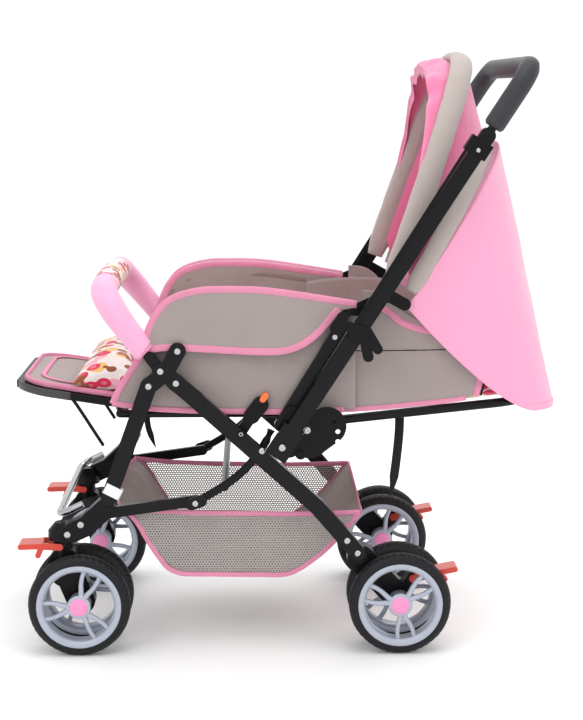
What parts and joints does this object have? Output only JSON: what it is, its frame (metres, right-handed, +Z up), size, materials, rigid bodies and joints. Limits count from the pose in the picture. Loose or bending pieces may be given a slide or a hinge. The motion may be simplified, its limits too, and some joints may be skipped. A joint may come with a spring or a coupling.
{
  "type": "baby stroller",
  "caption": "Folding stroller with reversible handle, twin wheels on swivel casters, lie-flat seat, hinged hood and footrest, bumper bar and mesh basket.",
  "frame": {"origin": "on the ground under the middle of the object's length and width", "axes": "+Z up, +X towards the child's left, -Y towards the front (footrest)"},
  "size_m": [0.509, 0.8862, 0.9621],
  "materials": {
    "frame_black": "gloss black powder coat, bright on edges",
    "plastic_black": "satin black moulded plastic",
    "steel": "bright plated steel rivets and axles",
    "bright_tube": "plated tube",
    "fabric_taupe": "plain woven polyester, taupe",
    "fabric_pink": "thin woven polyester, pink",
    "fabric_print": "printed quilted liner",
    "mesh": "open polyester mesh with pink binding",
    "tyre": "matt black foam rubber with tread grooves",
    "rim": "silver-blue moulded plastic",
    "lever": "orange-red moulded plastic",
    "lock_orange": "orange moulded plastic",
    "foam": "dark grey foam sleeve",
    "board": "fabric-wrapped board"
  },
  "bodies": {
    "frame": {"front_legs": "frame_black", "hub_plates": "frame_black", "front_elbows": "plastic_black", "front_cross_tube": "bright_tube", "armrest_tubes": "frame_black", "side_posts": "frame_black", "fan_plates": "frame_black", "canopy_brackets": "frame_black", "seat_board": "board", "seat_frame_tubes": "frame_black", "seat_side_left": "fabric_taupe", "seat_side_right": "fabric_taupe", "seat_pad": "fabric_print", "rear_bow": "fabric_taupe", "canopy_back": "fabric_pink", "frame_rivets": "steel"},
    "rear_frame": {"rear_legs": "frame_black", "rear_housings": "plastic_black", "rear_axles": "steel"},
    "link_bars": {"link_bars": "frame_black"},
    "link_tube": {"link_tube": "frame_black", "basket": "mesh"},
    "caster_left": {"caster_fork_left": "plastic_black"},
    "caster_right": {"caster_fork_right": "plastic_black"},
    "swivel_lock_left": {"swivel_lock_left": "lever"},
    "swivel_lock_right": {"swivel_lock_right": "lever"},
    "brake_left": {"brake_lever_left": "lever"},
    "brake_right": {"brake_lever_right": "lever"},
    "handle": {"handle_tube": "frame_black", "handle_grip": "foam"},
    "latches": {"latch_hooks": "plastic_black"},
    "backrest": {"backrest_tube": "frame_black", "backrest_pad": "fabric_print", "backrest_wings": "fabric_taupe"},
    "hood_front": {"front_bow": "fabric_taupe", "canopy_roof": "fabric_pink", "canopy_visor": "fabric_pink"},
    "footrest": {"footrest_tray": "plastic_black", "footrest_pad": "fabric_taupe"},
    "bumper": {"bumper_tube": "frame_black", "bumper_sleeve": "fabric_pink"},
    "fold_lock": {"fold_lock_lever": "plastic_black"},
    "fold_button": {"fold_lock_button": "lock_orange"},
    "wheel_front_left_outer": {"tyre_front_left_outer": "tyre", "rim_front_left_outer": "rim"},
    "wheel_front_left_inner": {"tyre_front_left_inner": "tyre", "rim_front_left_inner": "rim"},
    "wheel_front_right_outer": {"tyre_front_right_outer": "tyre", "rim_front_right_outer": "rim"},
    "wheel_front_right_inner": {"tyre_front_right_inner": "tyre", "rim_front_right_inner": "rim"},
    "wheel_rear_left_outer": {"tyre_rear_left_outer": "tyre", "rim_rear_left_outer": "rim"},
    "wheel_rear_left_inner": {"tyre_rear_left_inner": "tyre", "rim_rear_left_inner": "rim"},
    "wheel_rear_right_outer": {"tyre_rear_right_outer": "tyre", "rim_rear_right_outer": "rim"},
    "wheel_rear_right_inner": {"tyre_rear_right_inner": "tyre", "rim_rear_right_inner": "rim"}
  },
  "joints": [
    {"name": "frame_fold", "type": "hinge", "parent": "frame", "child": "rear_frame", "pos_m": [0, -0.1776, 0.4427], "axis": [-1, 0, 0], "range_deg": [0, 36], "deforming": ["basket"]},
    {"name": "link_bar_swing", "type": "hinge", "parent": "frame", "child": "link_bars", "pos_m": [0, -0.306, 0.222], "axis": [-1, 0, 0], "range_deg": [0, 40]},
    {"name": "link_tube_swing", "type": "hinge", "parent": "rear_frame", "child": "link_tube", "pos_m": [0, -0.0419, 0.3322], "axis": [1, 0, 0], "range_deg": [0, 72]},
    {"name": "handle_flip", "type": "hinge", "parent": "frame", "child": "handle", "pos_m": [0, -0.01, 0.341], "axis": [1, 0, 0], "range_deg": [0, 64]},
    {"name": "latch_slide", "type": "slide", "parent": "handle", "child": "latches", "axis": [0, 0.5446, 0.8387], "range_m": [0, 0.01], "stiffness_N_per_m": 300},
    {"name": "backrest_recline", "type": "hinge", "parent": "frame", "child": "backrest", "pos_m": [0, 0.027, 0.362], "axis": [1, 0, 0], "range_deg": [0, 50]},
    {"name": "hood_open", "type": "hinge", "parent": "frame", "child": "hood_front", "pos_m": [0, 0.159, 0.58], "axis": [1, 0, 0], "range_deg": [0, 45]},
    {"name": "footrest_drop", "type": "hinge", "parent": "frame", "child": "footrest", "pos_m": [0, -0.27, 0.386], "axis": [1, 0, 0], "range_deg": [0, 60]},
    {"name": "bumper_tilt", "type": "hinge", "parent": "frame", "child": "bumper", "pos_m": [0, -0.202, 0.462], "axis": [1, 0, 0], "range_deg": [0, 32]},
    {"name": "fold_lock_lever", "type": "hinge", "parent": "rear_frame", "child": "fold_lock", "pos_m": [0, -0.0752, 0.36], "axis": [-1, 0, 0], "range_deg": [0, 14]},
    {"name": "fold_lock_slide", "type": "slide", "parent": "fold_lock", "child": "fold_button", "axis": [0, -0.5446, -0.8387], "range_m": [0, 0.003], "stiffness_N_per_m": 200},
    {"name": "caster_swivel_left", "type": "hinge", "parent": "frame", "child": "caster_left", "pos_m": [0.2, -0.364, 0.19], "axis": [0, 0, 1], "continuous": true},
    {"name": "swivel_lock_left", "type": "hinge", "parent": "caster_left", "child": "swivel_lock_left", "pos_m": [0.2, -0.368, 0.1735], "axis": [1, 0, 0], "range_deg": [0, 12]},
    {"name": "brake_left", "type": "hinge", "parent": "rear_frame", "child": "brake_left", "pos_m": [0.2, 0.203, 0.117], "axis": [-1, 0, 0], "range_deg": [0, 15]},
    {"name": "caster_swivel_right", "type": "hinge", "parent": "frame", "child": "caster_right", "pos_m": [-0.2, -0.364, 0.19], "axis": [0, 0, 1], "continuous": true},
    {"name": "swivel_lock_right", "type": "hinge", "parent": "caster_right", "child": "swivel_lock_right", "pos_m": [-0.2, -0.368, 0.1735], "axis": [1, 0, 0], "range_deg": [0, 12]},
    {"name": "brake_right", "type": "hinge", "parent": "rear_frame", "child": "brake_right", "pos_m": [-0.2, 0.203, 0.117], "axis": [-1, 0, 0], "range_deg": [0, 15]},
    {"name": "wheel_front_left_outer_spin", "type": "hinge", "parent": "caster_left", "child": "wheel_front_left_outer", "pos_m": [0.235, -0.336, 0.0825], "axis": [1, 0, 0], "continuous": true},
    {"name": "wheel_front_left_inner_spin", "type": "hinge", "parent": "caster_left", "child": "wheel_front_left_inner", "pos_m": [0.165, -0.336, 0.0825], "axis": [1, 0, 0], "continuous": true},
    {"name": "wheel_front_right_outer_spin", "type": "hinge", "parent": "caster_right", "child": "wheel_front_right_outer", "pos_m": [-0.235, -0.336, 0.0825], "axis": [1, 0, 0], "continuous": true},
    {"name": "wheel_front_right_inner_spin", "type": "hinge", "parent": "caster_right", "child": "wheel_front_right_inner", "pos_m": [-0.165, -0.336, 0.0825], "axis": [1, 0, 0], "continuous": true},
    {"name": "wheel_rear_left_outer_spin", "type": "hinge", "parent": "rear_frame", "child": "wheel_rear_left_outer", "pos_m": [0.235, 0.18, 0.0825], "axis": [1, 0, 0], "continuous": true},
    {"name": "wheel_rear_left_inner_spin", "type": "hinge", "parent": "rear_frame", "child": "wheel_rear_left_inner", "pos_m": [0.165, 0.18, 0.0825], "axis": [1, 0, 0], "continuous": true},
    {"name": "wheel_rear_right_outer_spin", "type": "hinge", "parent": "rear_frame", "child": "wheel_rear_right_outer", "pos_m": [-0.235, 0.18, 0.0825], "axis": [1, 0, 0], "continuous": true},
    {"name": "wheel_rear_right_inner_spin", "type": "hinge", "parent": "rear_frame", "child": "wheel_rear_right_inner", "pos_m": [-0.165, 0.18, 0.0825], "axis": [1, 0, 0], "continuous": true}
  ],
  "couplings": [
    {"joint": "link_bar_swing", "follows": "frame_fold", "ratio": 1.09},
    {"joint": "link_tube_swing", "follows": "frame_fold", "ratio": 1.958}
  ]
}
